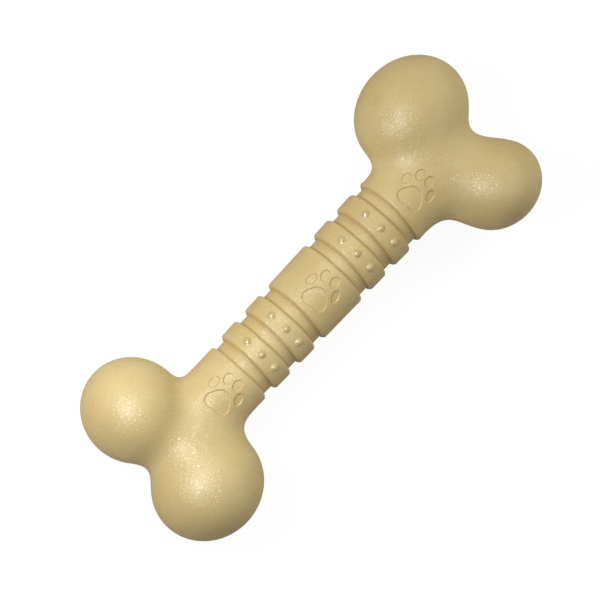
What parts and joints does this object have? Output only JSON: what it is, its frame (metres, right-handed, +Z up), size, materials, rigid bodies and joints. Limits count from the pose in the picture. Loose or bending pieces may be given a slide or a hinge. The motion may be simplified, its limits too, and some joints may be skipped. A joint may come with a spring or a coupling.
{
  "type": "nylon chew bone",
  "caption": "Bone-shaped moulded dog chew: a grooved, tapered barrel with studded rings, a plain centre band and recessed paw prints, between lobed knuckles.",
  "frame": {"origin": "middle of the bone's length and width, on the surface it lies on", "axes": "+X along the bone towards its thicker collar, +Z up from the surface it lies on, +Y across the bone"},
  "size_m": [0.2, 0.0808, 0.0399],
  "materials": {
    "nylon": "satin ivory nylon with a fine moulded grain"
  },
  "bodies": {
    "root": {"spine": "nylon", "left_knuckle": "nylon", "right_knuckle": "nylon", "nub_ring_1": "nylon", "nub_ring_2": "nylon", "centre_band": "nylon", "nub_ring_3": "nylon", "nub_ring_4": "nylon"}
  },
  "joints": []
}
